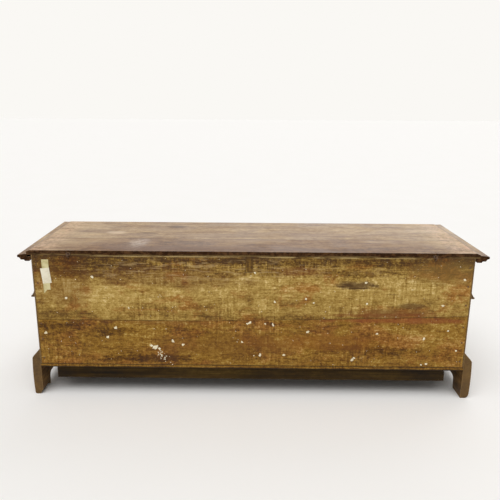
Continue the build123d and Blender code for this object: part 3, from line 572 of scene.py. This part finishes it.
for node, axis, seed in (
    ("lid_moulding_left", "Y", 41), ("lid_moulding_right", "Y", 43), ("lid_moulding_front", "X", 47)
):
    moulding = lid_finish(node + "_wood", axis, seed, (0.0, 0.0, RIM_Z - 0.2))
    moulding.darken(0.10)
    moulding.stops(*LID_TONES)
    dress(node, lid_done(moulding, 0.25, plank=False))

for node, seed in (("lid_batten_left", 51), ("lid_batten_right", 52)):
    pith = (0.6, 0.0, RIM_Z - 0.2)
    batten = Wood(node + "_wood", "Y", pith, seed, short=2.0, shares=(0.6, 0.6, 0.7, 0.7))
    batten.stops(*CASE_TONES)
    batten.cracks(DEEP)
    # painted shade where the batten meets the lid
    batten.crevice_shade(DEEP, 0.7)
    dress(node, batten.done())

# ------------------------------------------------------------------ sides, front, plinth, mouldings
for seed, (node, axis, pith) in enumerate((
    ("side_panel_left", "Y", (-BODY_HALF + 0.15, 0.0, 0.33)),
    ("side_panel_right", "Y", (BODY_HALF - 0.15, 0.0, 0.35)),
    ("front_lower_plank", "X", (0.0, -0.08, 0.24)),
    ("front_upper_plank", "X", (0.0, -0.08, 0.50)),
    ("plinth_left", "Y", (-BODY_HALF + 0.1, 0.0, 0.10)),
    ("plinth_right", "Y", (BODY_HALF - 0.1, 0.0, 0.09)),
    ("plinth_front", "X", (0.0, -0.12, 0.10)),
    ("mid_moulding_left", "Y", (-BODY_HALF + 0.1, 0.0, 0.40)),
    ("mid_moulding_right", "Y", (BODY_HALF - 0.1, 0.0, 0.40)),
    ("mid_moulding_front", "X", (0.0, -0.15, 0.40)),
), 60):
    case = Wood(node + "_wood", axis, pith, seed, short=1.6, shares=(0.70, 0.55, 0.75, 0.70))
    case.sway(case.pattern((9.0, 9.0, 12.0), 8.0, 0.70, 0.7), 0.6)
    case.sway(case.fibres, 0.45)
    if "plank" not in node and "panel" not in node:
        case.darken(0.07)
    case.stops(*CASE_TONES)
    case.cracks(PITCH, 0.6)
    # painted shade where the pieces meet
    case.crevice_shade(PITCH, 0.8)
    case.shade(case.back_end(), srgb(50, 34, 16) if "moulding" in node else srgb(96, 72, 34), 0.6)
    case.edges(srgb(170, 140, 90), 0.55)
    rough = case.ease(case.blotch, 0.35, 0.7, 0.45, 0.68)
    dress(node, case.done(0.35, 0.0006, rough=rough, specular=0.3))

# the rear rail and the corner blocks get painted shade in their colour, as dark as wood deep in
# shade under the chest
for node, axis, seed in (
    ("rear_rail", "X", 81), ("corner_block_left", "Z", 82), ("corner_block_right", "Z", 83)
):
    dark = Wood(node + "_wood", axis, (0.5, 0.0, 0.2), seed)
    dark.stops(*SHADED_TONES)
    dark.cracks(PITCH)
    dark.edges(srgb(96, 74, 38), 0.4)
    dress(node, dark.done(specular=0.15))


# ------------------------------------------------------------------ iron, tape and card
def iron_finish(name, seed, dark, rusty, metallic):
    """Forged iron, rusty in patches and pitted."""
    iron = Finish(name)
    random.seed(seed)
    iron.shift = tuple(random.uniform(-5, 5) for _ in range(3))
    rust = iron.pattern((85.0, 85.0, 85.0), 9.0, 0.78, 0.3)
    pits = iron.pattern((620.0, 620.0, 620.0), 4.0, 0.6)
    colour = iron.mix(iron.ease(rust, 0.32, 0.70), dark, rusty)
    colour = iron.mix(iron.times(iron.ease(pits, 0.50, 0.72), 0.4), colour, srgb(128, 90, 58))
    iron.set("Base Color", colour)
    iron.set("Metallic", metallic)
    iron.set("Roughness", iron.ease(rust, 0.35, 0.65, 0.45, 0.85))
    iron.set("Normal", iron.bump(iron.plus(rust, iron.times(pits, 0.5)), 0.6, 0.0005))
    return iron.material


def matt_finish(name, spots, ends, colours, rough, relief, strength, distance):
    """Paper or chalky paint: two close colours in soft spots, over a fine relief."""
    matt = Finish(name)
    worn = matt.pattern(spots, 4.0, 0.6)
    matt.set("Base Color", matt.mix(matt.ease(worn, *ends), *colours))
    matt.set("Roughness", matt.ease(worn, 0.3, 0.7, *rough))
    matt.set("Normal", matt.bump(matt.pattern(relief, 4.0, 0.6), strength, distance))
    return matt.material


for nodes, finish in (
    (
        ("lock_case", "lock_bolt", "lid_staple", "batten_nails", "lock_nails", "staple_nails"),
        iron_finish("forged_iron_finish", 91, srgb(50, 41, 35), srgb(96, 66, 45), 0.55),
    ),
    (
        ("chest_hinge_pins", "lid_hinge_pins"),
        iron_finish("hinge_iron_finish", 93, srgb(60, 43, 27), srgb(106, 74, 42), 0.1),
    ),
    (
        ("back_nails",),
        iron_finish("rusty_nail_finish", 97, srgb(74, 50, 24), srgb(122, 84, 40), 0.0),
    ),
    (
        ("tag_tape",),
        matt_finish(
            "tape_finish", (45.0, 45.0, 30.0), (0.40, 0.66),
            (srgb(214, 203, 154), srgb(184, 170, 116)), (0.6, 0.75),
            (60.0, 60.0, 900.0), 0.5, 0.0004,
        ),
    ),
    (
        ("tag_card",),
        matt_finish(
            "card_finish", (38.0, 38.0, 38.0), (0.42, 0.68),
            (srgb(238, 231, 208), srgb(218, 208, 180)), (0.68, 0.8),
            (400.0, 400.0, 400.0), 0.25, 0.0002,
        ),
    ),
):
    for node in nodes:
        dress(node, finish)

# ------------------------------------------------------------------ softened arrises
ARRIS = 0.0012              # how wide planing and wear have rounded them
for node in (
    "side_panel_left", "side_panel_right", "plinth_left", "plinth_right", "plinth_front",
    "lid_moulding_left", "lid_moulding_right", "lid_moulding_front", "rear_rail",
    "corner_block_left", "corner_block_right", "bottom_rear_board", "bottom_front_board",
):
    # the faces of a CAD mesh share no corners, and only joined ones can be rounded
    weld = NODES[node].modifiers.new("joined", "WELD")
    weld.merge_threshold = 1e-6
    bevel = NODES[node].modifiers.new("arris", "BEVEL")
    bevel.width = ARRIS
    bevel.segments = 2
    bevel.limit_method = "ANGLE"
    bevel.angle_limit = math.radians(35)
    bevel.harden_normals = False

# ------------------------------------------------------------------ dried paint on the back
CORNERS = 11                # of a drop's outline
SUNK = 0.0001               # how deep its outline lies in the wood
BROW = 0.72                 # share of the radius where its top begins
BROW_RISE = 0.75            # share of the height that it has there
SPLASH_DROPS = 26
TINY_DROPS = 150


def paint_drop(mesh, x, z, radius, stretch, turn, height):
    """A low ragged blob standing on the back planks."""
    rim = []
    brow = []
    for step in range(CORNERS):
        angle = math.tau * step / CORNERS
        size = radius * random.uniform(0.60, 1.30)
        across = size * math.cos(angle) * stretch
        up = size * math.sin(angle) / stretch
        dx = across * math.cos(turn) - up * math.sin(turn)
        dz = across * math.sin(turn) + up * math.cos(turn)
        rim.append(mesh.verts.new((x + dx, BACK_Y - SUNK, z + dz)))
        brow.append(mesh.verts.new((x + dx * BROW, BACK_Y + height * BROW_RISE, z + dz * BROW)))
    peak = mesh.verts.new((x, BACK_Y + height, z))
    for step in range(CORNERS):
        after = (step + 1) % CORNERS
        mesh.faces.new((rim[after], rim[step], brow[step], brow[after]))
        mesh.faces.new((brow[after], brow[step], peak))
    mesh.faces.new(rim)


random.seed(2024)
drops = bmesh.new()
# the larger drops: place along the chest, height, radius
for x, z, radius in (
    (0.361, 0.199, 0.0086), (0.376, 0.204, 0.0050), (0.346, 0.192, 0.0055),
    (0.295, 0.224, 0.0058), (0.257, 0.209, 0.0046), (-0.032, 0.171, 0.0062),
    (-0.009, 0.168, 0.0030), (-0.642, 0.242, 0.0046), (-0.658, 0.141, 0.0042),
    (-0.640, 0.137, 0.0036), (-0.379, 0.154, 0.0048), (-0.386, 0.162, 0.0036),
    (-0.209, 0.266, 0.0050), (-0.466, 0.261, 0.0046), (-0.728, 0.275, 0.0034),
    (-0.765, 0.195, 0.0038), (-0.769, 0.474, 0.0042), (0.007, 0.300, 0.0052),
    (-0.079, 0.293, 0.0044), (0.036, 0.223, 0.0032), (-0.122, 0.172, 0.0046),
    (-0.198, 0.396, 0.0044), (-0.084, 0.383, 0.0042), (-0.227, 0.381, 0.0032),
    (-0.422, 0.379, 0.0046), (-0.700, 0.374, 0.0040), (-0.413, 0.460, 0.0048),
    (0.506, 0.275, 0.0060), (0.538, 0.238, 0.0052), (0.583, 0.473, 0.0036),
    (0.684, 0.391, 0.0036), (0.454, 0.354, 0.0040), (0.770, 0.252, 0.0050),
    (-0.010, 0.494, 0.0040), (0.016, 0.296, 0.0036), (-0.050, 0.296, 0.0034),
):
    radius *= random.uniform(1.00, 1.30)
    stretch = random.uniform(0.9, 1.3)
    paint_drop(drops, x, z, radius, stretch, random.uniform(-1.2, 1.2), 0.0005)
# the long splash low on the +X side, which runs down towards the middle
for _ in range(SPLASH_DROPS):
    share = random.random()
    x = 0.345 - 0.032 * share + random.gauss(0, 0.008)
    z = 0.188 - 0.050 * share + random.gauss(0, 0.007)
    radius = random.uniform(0.0010, 0.0030)
    stretch = random.uniform(0.8, 1.3)
    paint_drop(drops, x, z, radius, stretch, random.uniform(-1.5, 1.5), 0.0004)
# the tiny ones everywhere
for _ in range(TINY_DROPS):
    x = random.uniform(-0.98, 0.98) * BACK_EDGE
    z = random.uniform(FLOOR_Z, RIM_Z)
    if FLOOR_Z + 0.006 < z < RIM_Z - 0.008:
        radius = random.uniform(0.0007, 0.0018)
        stretch = random.uniform(0.8, 1.6)
        paint_drop(drops, x, z, radius, stretch, random.uniform(-1.5, 1.5), 0.0003)
paint_mesh = bpy.data.meshes.new("paint_drops")
drops.to_mesh(paint_mesh)
drops.free()
paint = added("paint_drops", paint_mesh)
for polygon in paint_mesh.polygons:
    polygon.use_smooth = True
paint_mesh.materials.append(matt_finish(
    "dried_paint_finish", (300.0, 300.0, 300.0), (0.38, 0.64),
    (srgb(226, 212, 172), srgb(250, 244, 220)), (0.55, 0.8),
    (300.0, 300.0, 300.0), 0.3, 0.0003,
))
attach(paint, "chest")

# ------------------------------------------------------------------ floor, backdrop and light
FLOOR_HALF = 30
WORLD_LIGHT = 0.44          # its strength on the chest; the camera sees it at 1

floor_mesh = bpy.data.meshes.new("studio_floor")
corners = ((-1, -1), (1, -1), (1, 1), (-1, 1))
floor_mesh.from_pydata(
    [(x * FLOOR_HALF, y * FLOOR_HALF, 0) for x, y in corners], [], [(0, 1, 2, 3)]
)
floor = added("studio_floor", floor_mesh)
floor_finish = Finish("studio_floor_finish")
mottle = floor_finish.pattern((3.0, 3.0, 3.0), 3.0, 0.5)
floor_colour = floor_finish.mix(mottle, srgb(250, 249, 248), srgb(248, 247, 245))
floor_finish.set("Base Color", floor_colour)
floor_finish.set("Roughness", floor_finish.ease(mottle, 0.3, 0.7, 0.85, 0.92))
floor_finish.set("Specular IOR Level", 0.1)
floor_mesh.materials.append(floor_finish.material)

world = bpy.data.worlds.new("studio")
bpy.context.scene.world = world
world.use_nodes = True
background = world.node_tree.nodes["Background"]
background.inputs["Color"].default_value = srgb(250, 248, 244)
light_path = world.node_tree.nodes.new("ShaderNodeLightPath")
seen = light_path.outputs["Is Camera Ray"]
for kind in ("Is Glossy Ray", "Is Transmission Ray"):
    either = world.node_tree.nodes.new("ShaderNodeMath")
    either.operation = "MAXIMUM"
    world.node_tree.links.new(seen, either.inputs[0])
    world.node_tree.links.new(light_path.outputs[kind], either.inputs[1])
    seen = either.outputs[0]
strength = world.node_tree.nodes.new("ShaderNodeMath")
strength.operation = "MULTIPLY_ADD"
world.node_tree.links.new(seen, strength.inputs[0])
strength.inputs[1].default_value = 1.0 - WORLD_LIGHT
strength.inputs[2].default_value = WORLD_LIGHT
world.node_tree.links.new(strength.outputs[0], background.inputs["Strength"])

for name, source, power, softness in (
    ("overhead_light", (0.10, 0.42, 0.90), 1.75, 55.0),
    ("front_light", (-0.35, -0.80, 0.50), 0.55, 60.0),
):
    light = bpy.data.lights.new(name, "SUN")
    light.energy = power
    light.angle = math.radians(softness)
    added(name, light).rotation_euler = Vector(source).to_track_quat("Z", "Y").to_euler()

# ------------------------------------------------------------------ camera, behind the chest
CAMERA_PLACE = (0.0118, 2.2255, 1.1023)
PITCH_DOWN = 0.2601         # angles in radians, fitted to the photograph's edges
ROLL = 0.0058
YAW = -0.0098
FRAME_WIDTH = 500.0
FOCAL = 566.74              # in pixels of a frame of that width
SENSOR_WIDTH = 36.0
SHIFT_X = 0.01236           # of the lens, for the photograph's framing
SHIFT_Y = -0.0004


def turned(x, y, z):
    """The camera looks from behind, so its right is the chest's left."""
    return Vector((-x, -y, z))


sideways = turned(math.cos(YAW), -math.sin(YAW), 0.0)
rise = turned(
    math.sin(YAW) * math.sin(PITCH_DOWN),
    math.cos(YAW) * math.sin(PITCH_DOWN),
    math.cos(PITCH_DOWN),
)
ahead = turned(
    math.sin(YAW) * math.cos(PITCH_DOWN),
    math.cos(YAW) * math.cos(PITCH_DOWN),
    -math.sin(PITCH_DOWN),
)
right = sideways * math.cos(ROLL) + rise * math.sin(ROLL)
up = rise * math.cos(ROLL) - sideways * math.sin(ROLL)

camera_data = bpy.data.cameras.new("camera")
camera_data.sensor_width = SENSOR_WIDTH
camera_data.lens = FOCAL / FRAME_WIDTH * SENSOR_WIDTH
camera_data.shift_x = SHIFT_X
camera_data.shift_y = SHIFT_Y
camera = added("camera", camera_data)
basis = Matrix((right, up, -ahead)).transposed()
camera.matrix_world = Matrix.Translation(CAMERA_PLACE) @ basis.to_4x4()
bpy.context.scene.camera = camera
bpy.context.scene.view_settings.view_transform = "Standard"
